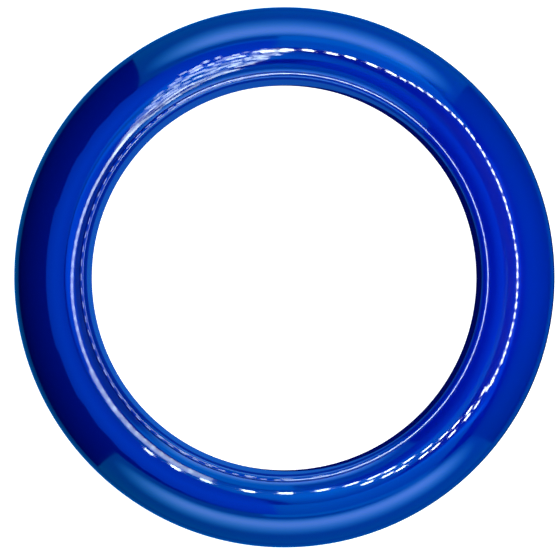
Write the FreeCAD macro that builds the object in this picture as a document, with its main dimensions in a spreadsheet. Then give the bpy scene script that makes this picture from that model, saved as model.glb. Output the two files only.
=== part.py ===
"""Hand-held gymnastic ring: a glossy hollow plastic hoop round a closed steel core.

Frame, in millimetres: the origin is the centre of the ring, +Z runs along the ring's
axis towards its front face, and the mid-plane z = 0 is the parting plane of the shells.
"""
import FreeCAD, Part
import math
import os

import Sketcher

# Driving dimensions, in millimetres and degrees. They fill the sheet called "sizes".
DIMENSIONS = {
    # outline of the grip
    "outer_diameter": 180.0,
    "grip_width": 26.0,
    "grip_thickness": 16.0,
    "wall": 2.2,
    # inner band
    "band_seat_diameter": 134.4,
    "band_bore_diameter": 130.0,
    "band_height": 11.4,
    "band_inner_round": 1.7,
    "band_outer_round": 0.4,
    # tongue and groove of the two seams
    "tongue_width": 0.8,
    "tongue_height": 1.2,
    "tongue_root": 0.5,
    "groove_side_gap": 0.05,
    "groove_end_gap": 0.2,
    "seam_bevel": 0.25,
    # ribs that carry the core
    "rib_count": 8.0,
    "rib_thickness": 2.0,
    "saddle_gap": 0.05,
    # rolled core tube and what closes it
    "core_diameter": 157.2,
    "core_tube_diameter": 8.0,
    "core_tube_wall": 1.2,
    "core_end_gap": 0.6,
    "joint_azimuth": 202.5,
    "spigot_gap": 0.05,
    "spigot_angle": 32.0,
    "sleeve_thickness": 1.0,
    "sleeve_angle": 5.0,
    "rivet_count": 4.0,
    "rivet_step": 8.0,
    "rivet_shank_diameter": 2.4,
    "rivet_hole_gap": 0.05,
    "rivet_head_diameter": 4.2,
    "rivet_head_height": 0.7,
}

# Sizes that follow from the driving ones, as formulas of the sheet.
DERIVED = {
    "ring_radius": "(outer_diameter - grip_width) / 2",
    "half_width": "grip_width / 2",
    "half_thickness": "grip_thickness / 2",
    "seat_radius": "band_seat_diameter / 2",
    "bore_radius": "band_bore_diameter / 2",
    "flange_radius": "band_seat_diameter / 2 + wall",
    "outer_radius": "outer_diameter / 2",
    "cavity_radius": "outer_diameter / 2 - wall",
    "core_radius": "core_diameter / 2",
    "tube_radius": "core_tube_diameter / 2",
    "tube_bore_radius": "core_tube_diameter / 2 - core_tube_wall",
    "spigot_radius": "core_tube_diameter / 2 - core_tube_wall - spigot_gap",
    "sleeve_radius": "core_tube_diameter / 2 + sleeve_thickness",
    "saddle_radius": "core_tube_diameter / 2 + sleeve_thickness + saddle_gap",
    "groove_width": "tongue_width + 2 * groove_side_gap",
    "groove_depth": "tongue_height + groove_end_gap",
    "shank_radius": "rivet_shank_diameter / 2",
    "head_radius": "rivet_head_diameter / 2",
}

doc = FreeCAD.newDocument("gymnastic_ring")


# ---------------------------------------------------------------- sheet of sizes

def make_sheet():
    """Write every size into the sheet and give its cell an alias."""
    sheet = doc.addObject("Spreadsheet::Sheet", "sizes")
    row = 1
    for name, value in DIMENSIONS.items():
        sheet.set("A%d" % row, name)
        sheet.set("B%d" % row, "%g" % value)
        sheet.setAlias("B%d" % row, name)
        row += 1
    for name, formula in DERIVED.items():
        sheet.set("A%d" % row, name)
        sheet.set("B%d" % row, "=" + formula)
        sheet.setAlias("B%d" % row, name)
        row += 1
    doc.recompute()
    return sheet


sheet = make_sheet()


def size(name):
    """A size of the sheet, as a plain number."""
    return float(sheet.get(name))


# ---------------------------------------------------------------- drawing helpers

START, END, CENTRE = 1, 2, 3
ORIGIN_POINT = (-1, 1)
RADIAL_AXIS = -1

# How far an edge may lie from where it is looked for, in millimetres.
EDGE_TOLERANCE = 1e-4


def new_body(name):
    body = doc.addObject("PartDesign::Body", name)
    body.Label = name
    return body


def new_sketch(body, name, role):
    """A sketch on one of the body's own origin planes."""
    sketch = body.newObject("Sketcher::SketchObject", name)
    plane = next(item for item in body.Origin.OriginFeatures if item.Role == role)
    sketch.AttachmentSupport = [(plane, "")]
    sketch.MapMode = "FlatFace"
    return sketch


def bind(sketch, name, formula, kind, *arguments):
    """Add a dimension to a sketch and tie it to the sheet."""
    index = sketch.addConstraint(Sketcher.Constraint(kind, *arguments))
    sketch.renameConstraint(index, name)
    sketch.setExpression("Constraints." + name, formula)


def join(sketch, first, first_end, second, second_end):
    sketch.addConstraint(Sketcher.Constraint("Coincident", first, first_end, second, second_end))


def add_line(sketch, start, end):
    points = [FreeCAD.Vector(x, y, 0) for x, y in (start, end)]
    return sketch.addGeometry(Part.LineSegment(*points), False)


def place_radius(sketch, name, formula, geometry, point, value):
    """Hold a point of the sketch at a distance from the ring's axis."""
    bind(sketch, name, formula, "DistanceX", *ORIGIN_POINT, geometry, point, value)


def place_height(sketch, name, formula, geometry, point, value):
    """Hold a point of the sketch at a height over the mid-plane."""
    bind(sketch, name, formula, "DistanceY", *ORIGIN_POINT, geometry, point, value)


def revolve(body, sketch, name, kind="PartDesign::Revolution", angle=None):
    """Turn a sketch about the ring's axis, all round or evenly about its own plane."""
    feature = body.newObject(kind, name)
    feature.Profile = sketch
    feature.ReferenceAxis = (sketch, ["V_Axis"])
    if angle is None:
        feature.Angle = 360
    else:
        feature.Midplane = True
        feature.setExpression("Angle", angle)
    sketch.Visibility = False
    body.Tip = feature
    doc.recompute()
    return feature


def repeat_round(body, original, name, count, angle):
    """Repeat a feature about the ring's axis."""
    pattern = body.newObject("PartDesign::PolarPattern", name)
    pattern.Originals = [original]
    pattern.Axis = (original.Profile[0], ["N_Axis" if angle != "360 deg" else "V_Axis"])
    pattern.setExpression("Angle", angle)
    pattern.setExpression("Occurrences", count)
    body.Tip = pattern
    doc.recompute()
    return pattern


def turn(part, formula):
    """Turn a part about the ring's axis by an angle in degrees."""
    part.Placement = FreeCAD.Placement(FreeCAD.Vector(), FreeCAD.Rotation(0, 0, 0))
    part.setExpression("Placement.Rotation.Axis.x", "0")
    part.setExpression("Placement.Rotation.Axis.y", "0")
    part.setExpression("Placement.Rotation.Axis.z", "1")
    part.setExpression("Placement.Rotation.Angle", "(" + formula + ") * 1 deg")


# ---------------------------------------------------------------- shell sections

def add_crown(sketch, tag, side, inset, inset_formula, foot, foot_formula):
    """An arc of the oval section, from the outer seam over the crown to a foot radius.

    side is +1 for the front half of the section and -1 for the rear half.
    """
    centre = FreeCAD.Vector(size("ring_radius"), 0, 0)
    major = size("half_width") - inset
    minor = size("half_thickness") - inset
    oval = Part.Ellipse(centre + FreeCAD.Vector(major, 0, 0),
                        centre + FreeCAD.Vector(0, minor, 0), centre)
    reach = math.acos((foot - centre.x) / major)
    ends = (0, reach) if side > 0 else (-reach, 0)
    arc = sketch.addGeometry(Part.ArcOfEllipse(oval, *ends), False)
    sketch.exposeInternalGeometry(arc)
    major_axis = arc + 1
    minor_axis = arc + 2
    sketch.addConstraint(Sketcher.Constraint("PointOnObject", arc, CENTRE, RADIAL_AXIS))
    place_radius(sketch, tag + "_centre", "sizes.ring_radius", arc, CENTRE, centre.x)
    sketch.addConstraint(Sketcher.Constraint("Horizontal", major_axis))
    bind(sketch, tag + "_width", "2 * (sizes.half_width - %s)" % inset_formula,
         "Distance", major_axis, 2 * major)
    bind(sketch, tag + "_depth", "2 * (sizes.half_thickness - %s)" % inset_formula,
         "Distance", minor_axis, 2 * minor)
    seam_end, foot_end = (START, END) if side > 0 else (END, START)
    sketch.addConstraint(Sketcher.Constraint("PointOnObject", arc, seam_end, RADIAL_AXIS))
    place_radius(sketch, tag + "_foot", foot_formula, arc, foot_end, foot)
    foot_height = side * minor * math.sin(reach)
    return arc, seam_end, foot_end, foot_height


def draw_wall(sketch, side):
    """The wall of one shell: crown, inner flange, and two flat seams at the mid-plane."""
    seat = size("seat_radius")
    flange = size("flange_radius")
    skin, skin_seam, skin_foot, skin_height = add_crown(
        sketch, "skin", side, 0, "0", seat, "sizes.seat_radius")
    cavity, cavity_seam, cavity_foot, cavity_height = add_crown(
        sketch, "cavity", side, size("wall"), "sizes.wall", flange, "sizes.flange_radius")
    seat_line = add_line(sketch, (seat, skin_height), (seat, 0))
    inner_seam = add_line(sketch, (seat, 0), (flange, 0))
    flange_line = add_line(sketch, (flange, 0), (flange, cavity_height))
    outer_seam = add_line(sketch, (size("cavity_radius"), 0), (size("outer_radius"), 0))
    join(sketch, skin, skin_foot, seat_line, START)
    join(sketch, seat_line, END, inner_seam, START)
    join(sketch, inner_seam, END, flange_line, START)
    join(sketch, flange_line, END, cavity, cavity_foot)
    join(sketch, cavity, cavity_seam, outer_seam, START)
    join(sketch, outer_seam, END, skin, skin_seam)
    sketch.addConstraint(Sketcher.Constraint("Vertical", seat_line))
    sketch.addConstraint(Sketcher.Constraint("Vertical", flange_line))
    sketch.addConstraint(Sketcher.Constraint("PointOnObject", inner_seam, START, RADIAL_AXIS))
    sketch.addConstraint(Sketcher.Constraint("PointOnObject", inner_seam, END, RADIAL_AXIS))


def draw_rib(sketch, side):
    """A rib across the cavity, rooted in the wall, with a half-round saddle for the core."""
    inset = size("wall") / 2
    foot = size("flange_radius") - inset
    core = size("core_radius")
    saddle = size("saddle_radius")
    rim = size("outer_radius") - inset
    root, root_seam, root_foot, root_height = add_crown(
        sketch, "root", side, inset, "sizes.wall / 2", foot, "sizes.flange_radius - sizes.wall / 2")
    circle = Part.Circle(FreeCAD.Vector(core, 0, 0), FreeCAD.Vector(0, 0, 1), saddle)
    span = (0, math.pi) if side > 0 else (-math.pi, 0)
    arc = sketch.addGeometry(Part.ArcOfCircle(circle, *span), False)
    outer_end, inner_end = (START, END) if side > 0 else (END, START)
    foot_line = add_line(sketch, (foot, root_height), (foot, 0))
    inner_line = add_line(sketch, (foot, 0), (core - saddle, 0))
    outer_line = add_line(sketch, (core + saddle, 0), (rim, 0))
    join(sketch, root, root_foot, foot_line, START)
    join(sketch, foot_line, END, inner_line, START)
    join(sketch, inner_line, END, arc, inner_end)
    join(sketch, arc, outer_end, outer_line, START)
    join(sketch, outer_line, END, root, root_seam)
    sketch.addConstraint(Sketcher.Constraint("Vertical", foot_line))
    for line, end in ((inner_line, START), (inner_line, END), (outer_line, START)):
        sketch.addConstraint(Sketcher.Constraint("PointOnObject", line, end, RADIAL_AXIS))
    sketch.addConstraint(Sketcher.Constraint("PointOnObject", arc, CENTRE, RADIAL_AXIS))
    place_radius(sketch, "core", "sizes.core_radius", arc, CENTRE, core)
    bind(sketch, "saddle", "sizes.saddle_radius", "Radius", arc, saddle)


def draw_box(sketch, tag, near, far, low, high):
    """A rectangle from its near and far radius and its low and high edge.

    Each is a pair: its formula in the sheet, and its value.
    """
    corners = [(near[1], low[1]), (far[1], low[1]), (far[1], high[1]), (near[1], high[1])]
    lines = [add_line(sketch, corners[i], corners[(i + 1) % 4]) for i in range(4)]
    for i, line in enumerate(lines):
        join(sketch, line, END, lines[(i + 1) % 4], START)
        direction = "Horizontal" if i % 2 == 0 else "Vertical"
        sketch.addConstraint(Sketcher.Constraint(direction, line))
    place_radius(sketch, tag + "_near", near[0], lines[0], START, near[1])
    place_radius(sketch, tag + "_far", far[0], lines[0], END, far[1])
    if low[1] == 0:
        sketch.addConstraint(Sketcher.Constraint("PointOnObject", lines[0], START, RADIAL_AXIS))
    else:
        place_height(sketch, tag + "_low", low[0], lines[0], START, low[1])
    place_height(sketch, tag + "_high", high[0], lines[2], START, high[1])


def draw_seam_boxes(sketch, width_name, low, high):
    """Two rectangles, one in the middle of the wall at each seam."""
    width = size(width_name)
    seams = {
        "outer": "sizes.outer_radius - sizes.wall / 2",
        "inner": "sizes.seat_radius + sizes.wall / 2",
    }
    middles = {
        "outer": size("outer_radius") - size("wall") / 2,
        "inner": size("seat_radius") + size("wall") / 2,
    }
    for tag, middle in seams.items():
        near = ("%s - sizes.%s / 2" % (middle, width_name), middles[tag] - width / 2)
        far = ("%s + sizes.%s / 2" % (middle, width_name), middles[tag] + width / 2)
        draw_box(sketch, tag, near, far, low, high)


def seam_edge(shape):
    """The name of the outer seam's edge: the widest circle in the mid-plane."""
    for index, edge in enumerate(shape.Edges, 1):
        box = edge.BoundBox
        flat = abs(box.ZMin) < EDGE_TOLERANCE and abs(box.ZMax) < EDGE_TOLERANCE
        if flat and abs(box.XMax - size("outer_radius")) < EDGE_TOLERANCE:
            return "Edge%d" % index
    raise RuntimeError("the outer seam's edge is missing")


def make_shell(name, side):
    """One half of the grip: side +1 is the front shell and -1 is the rear shell."""
    body = new_body(name)
    wall_sketch = new_sketch(body, name + "_wall_sketch", "XZ_Plane")
    draw_wall(wall_sketch, side)
    wall = revolve(body, wall_sketch, name + "_wall")

    bevel = body.newObject("PartDesign::Chamfer", name + "_seam_bevel")
    bevel.Base = (wall, [seam_edge(wall.Shape)])
    bevel.setExpression("Size", "sizes.seam_bevel")
    body.Tip = bevel
    doc.recompute()

    rib_sketch = new_sketch(body, name + "_rib_sketch", "XZ_Plane")
    draw_rib(rib_sketch, side)
    rib = body.newObject("PartDesign::Pad", name + "_rib")
    rib.Profile = rib_sketch
    rib.Midplane = True
    rib.setExpression("Length", "sizes.rib_thickness")
    rib_sketch.Visibility = False
    body.Tip = rib
    doc.recompute()
    repeat_round(body, rib, name + "_ribs", "sizes.rib_count", "360 deg")

    seam_sketch = new_sketch(body, name + "_seam_sketch", "XZ_Plane")
    if side > 0:
        draw_seam_boxes(seam_sketch, "groove_width", ("0", 0),
                        ("sizes.groove_depth", size("groove_depth")))
        revolve(body, seam_sketch, name + "_grooves", kind="PartDesign::Groove")
    else:
        draw_seam_boxes(seam_sketch, "tongue_width",
                        ("-sizes.tongue_root", -size("tongue_root")),
                        ("sizes.tongue_height", size("tongue_height")))
        revolve(body, seam_sketch, name + "_tongues")
    return body


# ---------------------------------------------------------------- inner band

def round_edges(body, base, name, radius_name, edge_radius):
    """Round both rims of a turned band that lie at one radius."""
    names = []
    for index, edge in enumerate(base.Shape.Edges, 1):
        box = edge.BoundBox
        flat = abs(box.ZMax - box.ZMin) < EDGE_TOLERANCE
        if flat and abs(box.XMax - edge_radius) < EDGE_TOLERANCE:
            names.append("Edge%d" % index)
    fillet = body.newObject("PartDesign::Fillet", name)
    fillet.Base = (base, names)
    fillet.setExpression("Radius", "sizes." + radius_name)
    body.Tip = fillet
    doc.recompute()
    return fillet


def make_band():
    """The liner of the opening, which covers the inner seam of the shells."""
    body = new_body("inner_band")
    sketch = new_sketch(body, "inner_band_sketch", "XZ_Plane")
    half = size("band_height") / 2
    draw_box(sketch, "band",
             ("sizes.bore_radius", size("bore_radius")),
             ("sizes.seat_radius", size("seat_radius")),
             ("-sizes.band_height / 2", -half),
             ("sizes.band_height / 2", half))
    ring = revolve(body, sketch, "inner_band_ring")
    inner = round_edges(body, ring, "inner_band_bore_rounds",
                        "band_inner_round", size("bore_radius"))
    round_edges(body, inner, "inner_band_seat_rounds",
                "band_outer_round", size("seat_radius"))
    return body


# ---------------------------------------------------------------- steel core

def draw_tube_circle(sketch, tag, name):
    """A circle of the core's section, centred on the core's line."""
    centre = FreeCAD.Vector(size("core_radius"), 0, 0)
    circle = sketch.addGeometry(Part.Circle(centre, FreeCAD.Vector(0, 0, 1), size(name)), False)
    sketch.addConstraint(Sketcher.Constraint("PointOnObject", circle, CENTRE, RADIAL_AXIS))
    place_radius(sketch, tag + "_centre", "sizes.core_radius", circle, CENTRE, centre.x)
    bind(sketch, tag + "_radius", "sizes." + name, "Radius", circle, size(name))


def drill_rivet_holes(body, name, azimuth):
    """Rivet holes straight through, spread evenly about an azimuth in degrees."""
    sketch = new_sketch(body, name + "_hole_sketch", "XY_Plane")
    first = "(%g - sizes.rivet_step * (sizes.rivet_count - 1) / 2) * 1 deg" % azimuth
    lean = azimuth - size("rivet_step") * (size("rivet_count") - 1) / 2
    x = size("core_radius") * math.cos(math.radians(lean))
    y = size("core_radius") * math.sin(math.radians(lean))
    radius = size("shank_radius") + size("rivet_hole_gap")
    circle = sketch.addGeometry(
        Part.Circle(FreeCAD.Vector(x, y, 0), FreeCAD.Vector(0, 0, 1), radius), False)
    place_radius(sketch, "x", "sizes.core_radius * cos(%s)" % first, circle, CENTRE, x)
    place_height(sketch, "y", "sizes.core_radius * sin(%s)" % first, circle, CENTRE, y)
    bind(sketch, "hole", "sizes.shank_radius + sizes.rivet_hole_gap", "Radius", circle, radius)
    hole = body.newObject("PartDesign::Pocket", name + "_hole")
    hole.Profile = sketch
    hole.Type = "ThroughAll"
    hole.Midplane = True
    sketch.Visibility = False
    body.Tip = hole
    doc.recompute()
    repeat_round(body, hole, name + "_holes", "sizes.rivet_count",
                 "sizes.rivet_step * (sizes.rivet_count - 1) * 1 deg")


def make_core_tube():
    """A steel tube rolled into a hoop, with a narrow butt gap where its ends meet."""
    body = new_body("core_tube")
    sketch = new_sketch(body, "core_tube_sketch", "XZ_Plane")
    draw_tube_circle(sketch, "outside", "tube_radius")
    draw_tube_circle(sketch, "inside", "tube_bore_radius")
    revolve(body, sketch, "core_tube_hoop",
            angle="360 deg - sizes.core_end_gap / sizes.core_radius * 1 rad")
    drill_rivet_holes(body, "core_tube", 180)
    turn(body, "sizes.joint_azimuth - 180")
    return body


def make_core_spigot():
    """The curved rod inside the tube's two ends."""
    body = new_body("core_spigot")
    sketch = new_sketch(body, "core_spigot_sketch", "XZ_Plane")
    draw_tube_circle(sketch, "outside", "spigot_radius")
    revolve(body, sketch, "core_spigot_rod", angle="sizes.spigot_angle * 1 deg")
    drill_rivet_holes(body, "core_spigot", 0)
    turn(body, "sizes.joint_azimuth")
    return body


def make_core_rivets():
    """Solid rivets that pin tube and spigot, each with a low head at both ends."""
    rivets = []
    for index in range(int(size("rivet_count"))):
        rivet = new_body("core_rivet_%d" % (index + 1))
        sketch = new_sketch(rivet, rivet.Name + "_sketch", "XY_Plane")
        centre = FreeCAD.Vector(size("core_radius"), 0, 0)
        circle = sketch.addGeometry(
            Part.Circle(centre, FreeCAD.Vector(0, 0, 1), size("shank_radius")), False)
        sketch.addConstraint(Sketcher.Constraint("PointOnObject", circle, CENTRE, RADIAL_AXIS))
        place_radius(sketch, "shank_centre", "sizes.core_radius", circle, CENTRE, centre.x)
        bind(sketch, "shank", "sizes.shank_radius", "Radius", circle, size("shank_radius"))
        shank = rivet.newObject("PartDesign::Pad", rivet.Name + "_shank")
        shank.Profile = sketch
        shank.Midplane = True
        shank.setExpression("Length", "sizes.core_tube_diameter")
        sketch.Visibility = False
        rivet.Tip = shank
        doc.recompute()
        for end, side in (("top", 1), ("bottom", -1)):
            add_rivet_head(rivet, end, side)
        turn(rivet, "sizes.joint_azimuth + (%d - (sizes.rivet_count - 1) / 2) * sizes.rivet_step"
             % index)
        rivets.append(rivet)
    group = doc.addObject("Part::Compound", "core_rivets")
    group.Label = "core_rivets"
    group.Links = rivets
    return group


def add_rivet_head(rivet, end, side):
    """A low round head on one end of a rivet's shank."""
    sketch = new_sketch(rivet, "%s_%s_sketch" % (rivet.Name, end), "XY_Plane")
    sketch.AttachmentOffset = FreeCAD.Placement(
        FreeCAD.Vector(0, 0, side * size("tube_radius")), FreeCAD.Rotation())
    sketch.setExpression("AttachmentOffset.Base.z", "%d * sizes.tube_radius" % side)
    centre = FreeCAD.Vector(size("core_radius"), 0, 0)
    circle = sketch.addGeometry(
        Part.Circle(centre, FreeCAD.Vector(0, 0, 1), size("head_radius")), False)
    sketch.addConstraint(Sketcher.Constraint("PointOnObject", circle, CENTRE, RADIAL_AXIS))
    place_radius(sketch, "head_centre", "sizes.core_radius", circle, CENTRE, centre.x)
    bind(sketch, "head", "sizes.head_radius", "Radius", circle, size("head_radius"))
    head = rivet.newObject("PartDesign::Pad", "%s_%s" % (rivet.Name, end))
    head.Profile = sketch
    head.Reversed = side < 0
    head.setExpression("Length", "sizes.rivet_head_height")
    sketch.Visibility = False
    rivet.Tip = head
    doc.recompute()


def make_sleeve(index):
    """A short rubber sleeve that seats the core in one pair of ribs."""
    body = new_body("core_sleeve_%d" % (index + 1))
    sketch = new_sketch(body, body.Name + "_sketch", "XZ_Plane")
    draw_tube_circle(sketch, "outside", "sleeve_radius")
    draw_tube_circle(sketch, "inside", "tube_radius")
    revolve(body, sketch, body.Name + "_ring", angle="sizes.sleeve_angle * 1 deg")
    turn(body, "%d * 360 / sizes.rib_count" % index)
    return body


# ---------------------------------------------------------------- build and export

def check_model(parts):
    """Stop if any object failed, or if a part's shape is missing or broken."""
    for item in doc.Objects:
        bad = [state for state in item.State if state in ("Invalid", "Error")]
        if bad:
            raise RuntimeError("%s is %s" % (item.Name, bad))
    for part in parts:
        if part.Shape.isNull() or not part.Shape.isValid():
            raise RuntimeError("%s has no valid shape" % part.Label)


parts = [make_shell("front_shell", 1), make_shell("rear_shell", -1), make_band()]
parts += [make_core_tube(), make_core_spigot(), make_core_rivets()]
parts += [make_sleeve(index) for index in range(int(size("rib_count")))]
doc.recompute()
check_model(parts)

os.makedirs("parts", exist_ok=True)
for part in parts:
    part.Shape.exportStep("parts/%s.step" % part.Label)
    print("%-16s solids %d  volume %.1f mm3" % (
        part.Label, len(part.Shape.Solids), part.Shape.Volume))
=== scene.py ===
"""Blender looks of the hand-held gymnastic ring.

Metres, in the frame of the CAD model: the origin is the ring's centre, +Z is its axis and
the mid-plane z = 0 is the seam of the two shells. The camera looks down at the front face.
"""
import math
import random

import bmesh
import bpy
from mathutils import Matrix, Vector


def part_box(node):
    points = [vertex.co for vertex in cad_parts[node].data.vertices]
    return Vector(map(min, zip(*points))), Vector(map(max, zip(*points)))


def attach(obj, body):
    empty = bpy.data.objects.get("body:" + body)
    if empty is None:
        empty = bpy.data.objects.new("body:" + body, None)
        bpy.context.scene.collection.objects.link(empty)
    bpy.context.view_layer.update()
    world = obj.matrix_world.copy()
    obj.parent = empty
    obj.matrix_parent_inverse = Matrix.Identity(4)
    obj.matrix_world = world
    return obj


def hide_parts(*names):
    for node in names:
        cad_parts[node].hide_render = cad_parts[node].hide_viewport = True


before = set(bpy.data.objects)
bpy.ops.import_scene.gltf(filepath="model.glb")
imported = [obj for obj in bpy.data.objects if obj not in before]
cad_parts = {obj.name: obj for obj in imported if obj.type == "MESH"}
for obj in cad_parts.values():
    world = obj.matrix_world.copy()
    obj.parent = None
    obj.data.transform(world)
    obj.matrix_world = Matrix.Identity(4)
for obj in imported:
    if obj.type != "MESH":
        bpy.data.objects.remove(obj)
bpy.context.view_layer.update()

MM = 0.001


# ---------------------------------------------------------------- sizes from the frame

SHELL_LOW, SHELL_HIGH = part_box("rear_shell")[0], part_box("front_shell")[1]
BAND_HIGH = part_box("inner_band")[1]

OUTER_RADIUS = SHELL_HIGH.x
HALF_THICKNESS = SHELL_HIGH.z
GRIP_HALF_WIDTH = 13.0 * MM
CROWN_RADIUS = OUTER_RADIUS - GRIP_HALF_WIDTH
SEAT_RADIUS = BAND_HIGH.x
BAND_TOP = BAND_HIGH.z
BAND_WALL = 2.2 * MM
SHELL_WALL = 2.2 * MM
BORE_RADIUS = SEAT_RADIUS - BAND_WALL
BORE_ROUND = 1.7 * MM
SEAT_ROUND = 0.4 * MM
SEAM_BEVEL = 0.25 * MM
FLOOR_Z = SHELL_LOW.z

# Steps round the ring: fine enough that a reflection runs smoothly along it.
ROUND_STEPS = 540
SKIN_STEPS = 110
CAVITY_STEPS = 40
SEAT_ROUND_STEPS = 16
BORE_ROUND_STEPS = 40
# Heights of the rings of points on the bore's straight wall, in millimetres.
BORE_WALL_HEIGHTS = (3.0, 1.5, 0.0, -1.5, -3.0)
SHARP_ANGLE = 25


# ---------------------------------------------------------------- mesh helpers

def turned_mesh(name, profile):
    """A mesh of revolution about Z from a closed profile of (radius, height) points."""
    vertices = []
    faces = []
    count = len(profile)
    for step in range(ROUND_STEPS):
        angle = 2 * math.pi * step / ROUND_STEPS
        cosine = math.cos(angle)
        sine = math.sin(angle)
        vertices += [(radius * cosine, radius * sine, height) for radius, height in profile]
    for step in range(ROUND_STEPS):
        here = step * count
        there = ((step + 1) % ROUND_STEPS) * count
        for i in range(count):
            j = (i + 1) % count
            faces.append((here + i, there + i, there + j, here + j))
    mesh = bpy.data.meshes.new(name)
    mesh.from_pydata(vertices, [], faces)
    shape = bmesh.new()
    shape.from_mesh(mesh)
    bmesh.ops.recalc_face_normals(shape, faces=shape.faces)
    shape.to_mesh(mesh)
    shape.free()
    mesh.polygons.foreach_set("use_smooth", [True] * len(mesh.polygons))
    mesh.set_sharp_from_angle(angle=math.radians(SHARP_ANGLE))
    piece = bpy.data.objects.new(name, mesh)
    bpy.context.scene.collection.objects.link(piece)
    return piece


def arc_points(centre, radius, start, end, steps):
    """Points of a circular arc, in degrees, both ends included."""
    points = []
    for step in range(steps + 1):
        angle = math.radians(start + (end - start) * step / steps)
        points.append((centre[0] + radius * math.cos(angle), centre[1] + radius * math.sin(angle)))
    return points


def oval_points(half_width, half_height, foot_radius, start, steps):
    """Points of the oval section, from an angle above the seam over the crown to a foot."""
    reach = math.acos((foot_radius - CROWN_RADIUS) / half_width)
    points = []
    for step in range(steps + 1):
        angle = start + (reach - start) * step / steps
        points.append((CROWN_RADIUS + half_width * math.cos(angle), half_height * math.sin(angle)))
    return points


# ---------------------------------------------------------------- the visible pieces

def shell_piece(name, side):
    """One shell, hollow, with a bevelled outer seam; side +1 is the front one."""
    start = math.asin(SEAM_BEVEL / HALF_THICKNESS)
    skin = oval_points(GRIP_HALF_WIDTH, HALF_THICKNESS, SEAT_RADIUS, start, SKIN_STEPS)
    foot = SEAT_RADIUS + SHELL_WALL
    cavity = oval_points(GRIP_HALF_WIDTH - SHELL_WALL, HALF_THICKNESS - SHELL_WALL, foot, 0, CAVITY_STEPS)
    bevel = [(OUTER_RADIUS - SEAM_BEVEL, 0)]
    inner_flange = [(SEAT_RADIUS, 0), (foot, 0)]
    profile = bevel + skin + inner_flange + cavity[::-1]
    piece = turned_mesh(name, [(radius, side * height) for radius, height in profile])
    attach(piece, "root")
    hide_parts(name.replace("_skin", ""))
    return piece


def band_piece():
    """The inner band, with its rounded rims."""
    seat_heart = (SEAT_RADIUS - SEAT_ROUND, BAND_TOP - SEAT_ROUND)
    bore_heart = (BORE_RADIUS + BORE_ROUND, BAND_TOP - BORE_ROUND)
    top = arc_points(seat_heart, SEAT_ROUND, 0, 90, SEAT_ROUND_STEPS)
    top += arc_points(bore_heart, BORE_ROUND, 90, 180, BORE_ROUND_STEPS)
    wall = [(BORE_RADIUS, height * MM) for height in BORE_WALL_HEIGHTS]
    bottom = [(radius, -height) for radius, height in top[::-1]]
    piece = turned_mesh("inner_band_skin", top + wall + bottom)
    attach(piece, "root")
    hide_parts("inner_band")
    return piece


# ---------------------------------------------------------------- materials

def new_material(name):
    """A new material with its nodes, its links and its shader."""
    material = bpy.data.materials.new(name)
    material.use_nodes = True
    nodes = material.node_tree.nodes
    return material, nodes, material.node_tree.links, nodes["Principled BSDF"]


def math_node(nodes, links, operation, first, second=None):
    """A Math node; each input is a socket to read or a plain number."""
    node = nodes.new("ShaderNodeMath")
    node.operation = operation
    for index, value in enumerate((first, second)):
        if value is None:
            continue
        if isinstance(value, bpy.types.NodeSocket):
            links.new(value, node.inputs[index])
        else:
            node.inputs[index].default_value = value
    return node.outputs[0]


def noise_node(nodes, links, place, scale, detail, stretch=(1, 1, 1)):
    """Noise over the object; stretch scales the three axes of the place it reads."""
    mapping = nodes.new("ShaderNodeMapping")
    mapping.inputs["Scale"].default_value = stretch
    links.new(place, mapping.inputs["Vector"])
    noise = nodes.new("ShaderNodeTexNoise")
    noise.inputs["Scale"].default_value = scale
    noise.inputs["Detail"].default_value = detail
    links.new(mapping.outputs["Vector"], noise.inputs["Vector"])
    return noise.outputs["Fac"]


def spread_node(nodes, links, value, low, high):
    """A 0 to 1 value spread over a range."""
    node = nodes.new("ShaderNodeMapRange")
    node.inputs["To Min"].default_value = low
    node.inputs["To Max"].default_value = high
    links.new(value, node.inputs["Value"])
    return node.outputs["Result"]


def distance_node(nodes, links, x, y):
    """How far a place is from the ring's axis."""
    x_square = math_node(nodes, links, "MULTIPLY", x, x)
    y_square = math_node(nodes, links, "MULTIPLY", y, y)
    return math_node(nodes, links, "SQRT", math_node(nodes, links, "ADD", x_square, y_square))


def ring_place(nodes, links):
    """A place made of azimuth, radius and height, so that a pattern can run round the ring."""
    coordinates = nodes.new("ShaderNodeTexCoord")
    split = nodes.new("ShaderNodeSeparateXYZ")
    links.new(coordinates.outputs["Object"], split.inputs["Vector"])
    x, y, z = split.outputs
    radius = distance_node(nodes, links, x, y)
    join = nodes.new("ShaderNodeCombineXYZ")
    azimuth = math_node(nodes, links, "ARCTAN2", y, x)
    links.new(math_node(nodes, links, "MULTIPLY", azimuth, CROWN_RADIUS), join.inputs["X"])
    links.new(radius, join.inputs["Y"])
    links.new(z, join.inputs["Z"])
    return coordinates.outputs["Object"], join.outputs["Vector"]


# Noise of the clouded colour and of the uneven roughness.
COLOUR_SCALE = 18
WEAR_SCALE = 1400
WEAR_STRETCH = (0.08, 1, 1)


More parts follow.
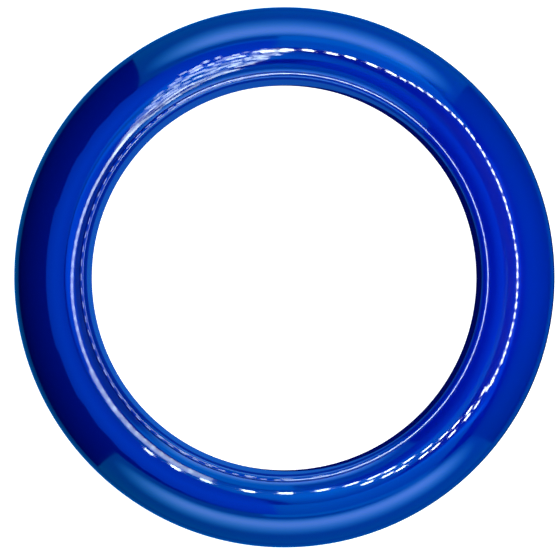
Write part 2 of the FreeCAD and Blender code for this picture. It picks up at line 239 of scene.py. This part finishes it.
def textured(name, dark, light, rough, bumps, metallic=0.0, ior=1.5):
    """A material with a clouded colour, an uneven roughness and a fine relief.

    rough is its range. bumps holds (scale, stretch, depth) of each layer of relief; a
    stretched layer runs round the ring.
    """
    material, nodes, links, shader = new_material(name)
    shader.inputs["IOR"].default_value = ior
    shader.inputs["Metallic"].default_value = metallic
    plain_place, round_place = ring_place(nodes, links)
    cloud = noise_node(nodes, links, plain_place, COLOUR_SCALE, 3)
    tint = nodes.new("ShaderNodeMix")
    tint.data_type = "RGBA"
    tint.inputs["A"].default_value = (*dark, 1)
    tint.inputs["B"].default_value = (*light, 1)
    links.new(cloud, tint.inputs["Factor"])
    links.new(tint.outputs["Result"], shader.inputs["Base Color"])
    wear = noise_node(nodes, links, round_place, WEAR_SCALE, 2, WEAR_STRETCH)
    links.new(spread_node(nodes, links, wear, *rough), shader.inputs["Roughness"])
    normal = None
    for scale, stretch, depth in bumps:
        bump = nodes.new("ShaderNodeBump")
        bump.inputs["Strength"].default_value = 1.0
        bump.inputs["Distance"].default_value = depth
        links.new(noise_node(nodes, links, round_place, scale, 2, stretch), bump.inputs["Height"])
        if normal is not None:
            links.new(normal, bump.inputs["Normal"])
        normal = bump.outputs["Normal"]
    links.new(normal, shader.inputs["Normal"])
    return material


PLASTIC_ROUGHNESS = (0.03, 0.075)
PLASTIC_IOR = 1.52


def glossy_plastic(name, colour):
    """Moulded plastic: high gloss, a faint flow pattern, hair-fine marks, slight waviness."""
    dark = [channel * 0.90 for channel in colour]
    light = [channel * 1.10 for channel in colour]
    waves = (110, (1, 1, 1), 0.006 * MM)
    marks = (2600, (0.03, 1, 1), 0.0004 * MM)
    return textured(name, dark, light, PLASTIC_ROUGHNESS, (waves, marks), ior=PLASTIC_IOR)


def finish_core():
    """Materials of the hidden core: drawn steel, bright rivets and black rubber."""
    drawn = ((900, (0.02, 1, 1), 0.004 * MM),)
    grain = ((1500, (1, 1, 1), 0.02 * MM),)
    steel = textured("core_steel", (0.42, 0.43, 0.44), (0.55, 0.56, 0.57), (0.22, 0.38), drawn, 1.0)
    rivet = textured("core_rivet_metal", (0.66, 0.67, 0.68), (0.78, 0.79, 0.80), (0.25, 0.40), grain, 1.0)
    rubber = textured("core_rubber", (0.010, 0.010, 0.011), (0.022, 0.022, 0.024), (0.55, 0.75), grain)
    for name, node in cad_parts.items():
        if not name.startswith("core_"):
            continue
        material = rubber if "sleeve" in name else rivet if "rivets" in name else steel
        node.data.materials.clear()
        node.data.materials.append(material)


def glow_material(name, strength, colour=(1, 1, 1)):
    """A material that only gives light."""
    material = bpy.data.materials.new(name)
    material.use_nodes = True
    nodes = material.node_tree.nodes
    nodes.clear()
    glow = nodes.new("ShaderNodeEmission")
    glow.inputs["Color"].default_value = (*colour, 1)
    glow.inputs["Strength"].default_value = strength
    output = nodes.new("ShaderNodeOutputMaterial")
    material.node_tree.links.new(glow.outputs["Emission"], output.inputs["Surface"])
    return material


# ---------------------------------------------------------------- stage and lights

def flat_sheet(name, corners, material):
    """A stage sheet from four corners."""
    mesh = bpy.data.meshes.new(name)
    mesh.from_pydata(corners, [], [(0, 1, 2, 3)])
    mesh.materials.append(material)
    sheet = bpy.data.objects.new(name, mesh)
    bpy.context.scene.collection.objects.link(sheet)
    return sheet


def square_corners(half, height):
    """The corners of a level square round the ring's axis."""
    return [(x * half, y * half, height) for x, y in ((-1, -1), (1, -1), (1, 1), (-1, 1))]


FLOOR_HALF = 3.0
FLOOR_WHITE = (0.86, 0.86, 0.86, 1)
FLOOR_ROUGHNESS = 0.6


def add_floor():
    """A pale floor, bright enough to stay plain, that doesn't show in the gloss of the ring."""
    material, _, _, shader = new_material("floor_white")
    shader.inputs["Base Color"].default_value = FLOOR_WHITE
    shader.inputs["Roughness"].default_value = FLOOR_ROUGHNESS
    shader.inputs["Emission Color"].default_value = (1, 1, 1, 1)
    shader.inputs["Emission Strength"].default_value = 1.0
    floor = flat_sheet("floor", square_corners(FLOOR_HALF, FLOOR_Z), material)
    floor.visible_glossy = False
    floor.visible_diffuse = False


def fade_node(nodes, links, value, near, far):
    """1 where the value is near and 0 where it is far, with a soft run between."""
    node = nodes.new("ShaderNodeMapRange")
    node.interpolation_type = "SMOOTHSTEP"
    node.inputs["From Min"].default_value = far
    node.inputs["From Max"].default_value = near
    links.new(value, node.inputs["Value"])
    return node.outputs["Result"]


# What a wall still gives away from its bright band, as a part of the band.
WALL_BASE = 0.17
# Where the band starts and stops fading towards a wall's ends, as parts of half its length.
WALL_FADE_START = 0.45
WALL_FADE_STOP = 1.15


def wall_glow(name, tint, strength, slope, spread, middle, half):
    """A soft band of light on a wall.

    It is brightest at one slope up from the ring's centre and fades above and below it,
    and it fades again towards the wall's two ends.
    """
    material = glow_material(name, strength, tint)
    nodes = material.node_tree.nodes
    links = material.node_tree.links
    place = nodes.new("ShaderNodeTexCoord")
    split = nodes.new("ShaderNodeSeparateXYZ")
    links.new(place.outputs["Object"], split.inputs["Vector"])
    x, y, z = split.outputs
    reach = distance_node(nodes, links, x, y)
    rise = math_node(nodes, links, "DIVIDE", z, reach)
    off_rise = math_node(nodes, links, "ABSOLUTE", math_node(nodes, links, "SUBTRACT", rise, slope))
    off_side = math_node(nodes, links, "ABSOLUTE", math_node(nodes, links, "SUBTRACT", x, middle))
    band = fade_node(nodes, links, off_rise, 0, spread)
    ends = fade_node(nodes, links, off_side, half * WALL_FADE_START, half * WALL_FADE_STOP)
    glow = next(node for node in nodes if node.bl_idname == "ShaderNodeEmission")
    core = math_node(nodes, links, "MULTIPLY", band, ends)
    both = math_node(nodes, links, "MAXIMUM", core, WALL_BASE)
    mix = nodes.new("ShaderNodeMix")
    mix.data_type = "RGBA"
    mix.inputs["A"].default_value = (0, *tint[1:], 1)
    mix.inputs["B"].default_value = (*tint, 1)
    links.new(math_node(nodes, links, "POWER", core, 2), mix.inputs["Factor"])
    links.new(mix.outputs["Result"], glow.inputs["Color"])
    links.new(math_node(nodes, links, "MULTIPLY", both, strength), glow.inputs["Strength"])
    return material


# Floor plan of the light tent in millimetres: back right, back left, front left, front right.
TENT_CORNERS = ((178, 190), (-127, 190), (-190, -190), (250, -190))
TENT_TOP = 420 * MM


def gloss_only(sheet):
    """Let a sheet show in the gloss of the ring and nowhere else."""
    sheet.visible_camera = False
    sheet.visible_shadow = False
    sheet.visible_diffuse = False


def add_wall(name, start, end, tint, strength, slope, spread):
    """One wall of the light tent, which only shows in the gloss of the ring."""
    ends = [Vector(TENT_CORNERS[index]) * MM for index in (start, end)]
    corners = [(ends[0].x, ends[0].y, FLOOR_Z), (ends[1].x, ends[1].y, FLOOR_Z),
               (ends[1].x, ends[1].y, TENT_TOP), (ends[0].x, ends[0].y, TENT_TOP)]
    middle = (ends[0].x + ends[1].x) / 2
    half = (ends[1] - ends[0]).length / 2
    material = wall_glow(name + "_glow", tint, strength, slope, spread, middle, half)
    gloss_only(flat_sheet(name, corners, material))


GLOW_STEPS = 96
GLOW_LIFT = 0.3 * MM


def add_floor_glow(name, centre, inner, outer, strength, tint):
    """A ring of soft light just above the floor, which only shows in the gloss of the ring."""
    mesh = bpy.data.meshes.new(name)
    points = []
    for step in range(GLOW_STEPS):
        angle = 2 * math.pi * step / GLOW_STEPS
        for radius in (inner, outer):
            x = centre[0] + radius * math.cos(angle)
            y = centre[1] + radius * math.sin(angle)
            points.append((x, y, FLOOR_Z + GLOW_LIFT))
    faces = []
    for step in range(GLOW_STEPS):
        here = 2 * step
        there = 2 * ((step + 1) % GLOW_STEPS)
        faces.append((here, here + 1, there + 1, there))
    mesh.from_pydata(points, [], faces)
    mesh.materials.append(glow_material(name + "_glow", strength, tint))
    sheet = bpy.data.objects.new(name, mesh)
    bpy.context.scene.collection.objects.link(sheet)
    gloss_only(sheet)


def beam_share(beam):
    """The part of its full radiance that an area lamp keeps when a grid narrows it to a beam."""
    half = math.radians(beam) / 2
    return 1.0 if beam >= 180 else (math.tan(half) - half) / math.tan(half)


def area_lamp(name, place, width, height, radiance, beam=180, colour=(1, 1, 1)):
    """An area lamp that the camera doesn't see; beam is its full angle, in degrees."""
    data = bpy.data.lights.new(name, "AREA")
    data.shape = "RECTANGLE"
    data.size = width
    data.size_y = height
    data.energy = radiance * math.pi * width * height * beam_share(beam)
    data.color = colour
    data.spread = math.radians(beam)
    lamp = bpy.data.objects.new(name, data)
    bpy.context.scene.collection.objects.link(lamp)
    lamp.location = place
    lamp.visible_camera = False
    return lamp


def aim(lamp, target):
    """Turn a lamp to face a place."""
    lamp.rotation_euler = (Vector(target) - lamp.location).to_track_quat("-Z", "Y").to_euler()


def gloss_lamp(name, spot, normal, distance, along, across, radiance, beam):
    """A small lamp over the ring, placed so that the front camera sees its glint at the spot."""
    view = (spot - CAMERA_PLACE).normalized()
    ray = view - 2 * view.dot(normal) * normal
    lamp = area_lamp(name, spot + ray * distance, along, across, radiance, beam, LAMP_COLOUR)
    side = Vector((-spot.y, spot.x, 0)).normalized()
    side = (side - ray * side.dot(ray)).normalized()
    up = ray.cross(side)
    lamp.rotation_euler = Matrix((side, up, ray)).transposed().to_euler()
    lamp.visible_diffuse = False


def crown_spot(azimuth, slope):
    """A point of the crown and its normal; slope is degrees from the top to the opening."""
    turn = math.radians(azimuth)
    lean = math.radians(slope)
    out = Vector((math.cos(turn), math.sin(turn), 0))
    up = Vector((0, 0, 1))
    radius = CROWN_RADIUS - GRIP_HALF_WIDTH * math.sin(lean)
    spot = out * radius + up * HALF_THICKNESS * math.cos(lean)
    normal = up * math.cos(lean) / HALF_THICKNESS - out * math.sin(lean) / GRIP_HALF_WIDTH
    return spot, normal.normalized()


def rim_spot(azimuth):
    """A point near the top of the inner band's rounded rim and its normal."""
    turn = math.radians(azimuth)
    lean = math.radians(RIM_LEAN)
    out = Vector((math.cos(turn), math.sin(turn), 0))
    normal = Vector((0, 0, 1)) * math.cos(lean) - out * math.sin(lean)
    heart = out * (BORE_RADIUS + BORE_ROUND) + Vector((0, 0, BAND_TOP - BORE_ROUND))
    return heart + normal * BORE_ROUND, normal


def along_path(path, azimuth):
    """The value at an azimuth on a path of (azimuth, value) corners."""
    for (start, first), (end, last) in zip(path, path[1:]):
        if azimuth <= end:
            share = max(0.0, (azimuth - start) / (end - start))
            return first + (last - first) * share
    return path[-1][1]


LAMP_COLOUR = (0.80, 0.95, 1.0)
LAMP_DISTANCE = 60 * MM
LAMP_BEAM = 30
# How far a fully wandering glint leaves its path, in degrees of slope.
SLOPE_WANDER = 1.5
RIM_DISTANCE = 15 * MM
RIM_BEAM = 20
RIM_LEAN = 4
DRAW = random.Random(11)


def glint_row(name, path, pitch, along, across, radiance, wander=0.0):
    """Lamps for a row of glints: along and across in millimetres, pitch in degrees of azimuth."""
    start, end = path[0][0], path[-1][0]
    count = round((end - start) / pitch)
    for index in range(count):
        azimuth = start + (end - start) * (index + 0.5) / count
        azimuth += DRAW.uniform(-wander, wander) * pitch / 2
        slope = along_path(path, azimuth) + DRAW.uniform(-wander, wander) * SLOPE_WANDER
        level = radiance * (1 + DRAW.uniform(-wander, wander) / 2)
        spot, normal = crown_spot(azimuth, slope)
        gloss_lamp("%s_%d" % (name, index), spot, normal, LAMP_DISTANCE,
                   along * MM, across * MM, level, LAMP_BEAM)


# Corners of each highlight's path on the crown, as (azimuth, slope) in degrees. They were
# converted from places read off the photograph, so they hold for this crown and camera only.
RIGHT_LINE = ((-30, 8.0), (-20, 5.4), (0, 5.7), (20, 6.1), (40, 3.9))
TOP_LINE = ((40, 3.9), (50, 6.4), (60, 10.0))
TOP_DASHES = ((60, 10.0), (80, 12.8), (97, 16.4))
LEFT_LINE = ((135, 39.8), (150, 40.2), (165, 38.3), (185, 34.6), (206, 32.4))
LEFT_LINE_WIDE = ((206, 32.0), (225, 30.4), (250, 29.6))
BOTTOM_DASHES = ((226, 20.0), (236, 24.0), (255, 27.4), (284, 30.0))
BOTTOM_INNER_ROW = ((286, 28.5), (300, 23.7), (320, 14.7), (332, 9.0))
BOTTOM_OUTER_ROW = ((289, 22.8), (300, 17.9), (320, 9.7), (335, 6.0))


def add_glints():
    """The lamps' images: a beaded line, dashes at the top and bottom, a soft line on the left."""
    glint_row("right_line", RIGHT_LINE, 2.4, 2.3, 3.6, 38, 0.25)
    glint_row("top_line", TOP_LINE, 2.6, 2.3, 3.6, 40, 0.25)
    glint_row("top_dashes", TOP_DASHES, 5.2, 3.6, 4.2, 46, 0.2)
    glint_row("left_line", LEFT_LINE, 3, 2.6, 8.0, 8, 0.1)
    glint_row("left_line_wide", LEFT_LINE_WIDE, 3, 2.6, 13.0, 9, 0.25)
    glint_row("bottom_dashes", BOTTOM_DASHES, 9.6, 2.8, 5.0, 42, 0.5)
    glint_row("bottom_inner_row", BOTTOM_INNER_ROW, 5.2, 3.2, 3.0, 46, 0.4)
    glint_row("bottom_outer_row", BOTTOM_OUTER_ROW, 5.2, 3.2, 3.0, 46, 0.4)


# Outer and inner edge of the cloudy patch, in the same terms, and how strong it is.
CLOUD_OUTER = ((90, 13.0), (100, 11.5), (110, 11.0), (118, 13.5), (125, 21.0), (132, 30.0), (143, 38.0))
CLOUD_INNER = ((90, 17.0), (95, 27.0), (100, 34.0), (108, 38.5), (125, 42.0), (143, 41.5))
CLOUD_LEVEL = ((90, 1.3), (118, 1.2), (132, 0.5), (143, 0.35))
CLOUD_STEP = 2.4
CLOUD_ROWS = 6
CLOUD_DRIFT = 1
CLOUD_RADIANCE = (3, 15)
# Sizes of its lamps, in millimetres.
CLOUD_ALONG = (1.5, 3)
CLOUD_ACROSS = (3, 5)


def add_cloud():
    """A patch of soft lamps of uneven strength, which shows as a mottled glow at the back left."""
    azimuth = CLOUD_OUTER[0][0]
    while azimuth < CLOUD_OUTER[-1][0]:
        for row in range(CLOUD_ROWS):
            share = (row + DRAW.uniform(0.1, 0.9)) / CLOUD_ROWS
            outer = along_path(CLOUD_OUTER, azimuth)
            slope = outer + (along_path(CLOUD_INNER, azimuth) - outer) * share
            spot, normal = crown_spot(azimuth + DRAW.uniform(-CLOUD_DRIFT, CLOUD_DRIFT), slope)
            level = DRAW.uniform(*CLOUD_RADIANCE) * along_path(CLOUD_LEVEL, azimuth)
            along = DRAW.uniform(*CLOUD_ALONG) * MM
            across = DRAW.uniform(*CLOUD_ACROSS) * MM
            gloss_lamp("cloud_%d_%d" % (azimuth * 10, row), spot, normal, LAMP_DISTANCE,
                       along, across, level, LAMP_BEAM)
        azimuth += CLOUD_STEP


RIM_STEP = 4
# Azimuths between which the rim line is broken into dots.
DOTS_START = 120
DOTS_STOP = 272
DOT_LENGTH = 2.2 * MM
DASH_LENGTH = 5 * MM
RIM_ACROSS = 5 * MM
DOT_RADIANCE = 16
DASH_RADIANCE = 26


def add_rim_line():
    """Lamps close over the inner band's rim: a thin line, broken into dots on the left."""
    for azimuth in range(0, 360, RIM_STEP):
        dotted = DOTS_START < azimuth < DOTS_STOP
        length = DOT_LENGTH if dotted else DASH_LENGTH
        radiance = DOT_RADIANCE if dotted else DASH_RADIANCE
        spot, normal = rim_spot(azimuth)
        gloss_lamp("rim_%d" % azimuth, spot, normal, RIM_DISTANCE, length, RIM_ACROSS, radiance, RIM_BEAM)


BOUNCE_HALF = 4 * OUTER_RADIUS
BOUNCE_LIFT = 0.2 * MM
BOUNCE_STRENGTH = 0.35


def add_bounce():
    """A sheet just above the floor that lifts the underside, as a pale floor does."""
    corners = square_corners(BOUNCE_HALF, FLOOR_Z + BOUNCE_LIFT)
    bounce = flat_sheet("bounce", corners, glow_material("bounce_glow", BOUNCE_STRENGTH))
    bounce.visible_camera = False
    bounce.visible_glossy = False
    bounce.visible_shadow = False


CEILING_TINT = (0.0, 0.11, 1.0)
EDGE_TINT = (0.0, 0.28, 1.0)
BAND_TINT = (0.15, 0.42, 1.0)
RIGHT_TINT = (0.0, 0.7, 1.0)
FLOOR_TINT = (0.0, 0.32, 1.0)
BORE_TINT = (0.02, 0.25, 1.0)
CEILING_Z = 240 * MM
# The left half of the ceiling is a half disc, in strips; its radius is in millimetres.
CEILING_HALF = 148
CEILING_MIDDLE_Y = 8
CEILING_STRIPS = 10


def ceiling_panel(name, low, high, radiance, beam, tint, target=None):
    """A gloss-only panel over the ring between two floor-plan corners in millimetres."""
    middle = ((low[0] + high[0]) / 2 * MM, (low[1] + high[1]) / 2 * MM, CEILING_Z)
    width = (high[0] - low[0]) * MM
    height = (high[1] - low[1]) * MM
    panel = area_lamp(name, middle, width, height, radiance, beam, tint)
    aim(panel, target or (middle[0], middle[1], 0))
    panel.visible_diffuse = False


def fill_lamp(name, place, width, height, radiance, beam=180, target=None):
    """A lamp for the plastic's own colour, which doesn't show in the gloss; sizes in millimetres."""
    lamp = area_lamp(name, place, width * MM, height * MM, radiance, beam)
    if target:
        aim(lamp, target)
    lamp.visible_glossy = False


def add_lights():
    """All lamps, panels and glowing sheets."""
    add_glints()
    add_cloud()
    add_rim_line()
    fill_lamp("key", (75 * MM, 10 * MM, 130 * MM), 80, 80, 8.4)
    fill_lamp("fill", (-10 * MM, 0, 300 * MM), 300, 300, 0.75)
    fill_lamp("left_fill", (30 * MM, 0, 100 * MM), 60, 60, 2.4, 100, (-70 * MM, 0, 0))
    for name, place in (("front_fill", (40, -200, 60)), ("back_fill", (10, 200, 60))):
        fill_lamp(name, Vector(place) * MM, 200, 60, 2.2, target=(place[0] * MM, 0, 0))
    add_bounce()
    for index in range(CEILING_STRIPS):
        near = CEILING_HALF * index / CEILING_STRIPS
        far = CEILING_HALF * (index + 1) / CEILING_STRIPS
        reach = math.sqrt(CEILING_HALF ** 2 - ((near + far) / 2) ** 2)
        low = (-far, CEILING_MIDDLE_Y - reach)
        high = (-near, CEILING_MIDDLE_Y + reach)
        ceiling_panel("ceiling_left_%d" % index, low, high, 6, 80, CEILING_TINT)
    ceiling_panel("ceiling_middle", (0, -60), (150, 60), 10, 56, CEILING_TINT, (-50 * MM, 0, 0))
    ceiling_panel("ceiling_to_front", (0, -65), (34, 65), 8, 46, EDGE_TINT, (26 * MM, -85 * MM, 0))
    ceiling_panel("ceiling_to_back", (0, -65), (28, 65), 7, 46, EDGE_TINT, (-20 * MM, 85 * MM, 0))
    ceiling_panel("ceiling_back", (0, 85), (110, 180), 4.6, 150, EDGE_TINT)
    ceiling_panel("ceiling_front", (-10, -160), (120, -62), 5.0, 80, EDGE_TINT)
    add_wall("wall_back", 0, 1, BAND_TINT, 10, 0.86, 0.78)
    add_wall("wall_front", 2, 3, BAND_TINT, 10, 0.90, 0.78)
    add_wall("wall_right", 3, 0, RIGHT_TINT, 0.5, 0.8, 1.4)
    add_floor_glow("floor_glow_inside", (-2 * MM, 0), 1 * MM, 64 * MM, 1.0, BORE_TINT)
    add_floor_glow("floor_glow_outside", (12 * MM, 0), 93 * MM, 250 * MM, 1.2, FLOOR_TINT)


def set_world():
    """A white backdrop for the camera alone."""
    world = bpy.data.worlds.new("studio")
    bpy.context.scene.world = world
    world.use_nodes = True
    background = world.node_tree.nodes["Background"]
    background.inputs["Color"].default_value = (1, 1, 1, 1)
    background.inputs["Strength"].default_value = 1.0
    world.cycles_visibility.diffuse = False
    world.cycles_visibility.glossy = False


# ---------------------------------------------------------------- camera

# VIEW_CENTRE and VIEW_WIDTH are what the picture takes in at the ring's mid-plane.
CAMERA_PLACE = Vector((-5.0 * MM, -11.0 * MM, 301.6 * MM))
VIEW_CENTRE = Vector((-1.44 * MM, 0.49 * MM))
VIEW_WIDTH = 186.9 * MM


def add_camera():
    """The camera looks straight down; a small shift frames the ring from beside its axis."""
    data = bpy.data.cameras.new("camera")
    data.sensor_width = 36
    data.lens = data.sensor_width * CAMERA_PLACE.z / VIEW_WIDTH
    data.shift_x = (VIEW_CENTRE.x - CAMERA_PLACE.x) / VIEW_WIDTH
    data.shift_y = (VIEW_CENTRE.y - CAMERA_PLACE.y) / VIEW_WIDTH
    data.clip_start = 0.01
    data.clip_end = 20
    camera = bpy.data.objects.new("camera", data)
    bpy.context.scene.collection.objects.link(camera)
    camera.location = CAMERA_PLACE
    bpy.context.scene.camera = camera


# ---------------------------------------------------------------- build

BLUE = (0.0, 0.008, 0.36)

add_camera()
shell_material = glossy_plastic("shell_blue", BLUE)
band_material = glossy_plastic("band_blue", BLUE)
for shell in (shell_piece("front_shell_skin", 1), shell_piece("rear_shell_skin", -1)):
    shell.data.materials.append(shell_material)
band_piece().data.materials.append(band_material)
finish_core()
add_floor()
add_lights()
set_world()

bpy.context.scene.view_settings.view_transform = "Standard"
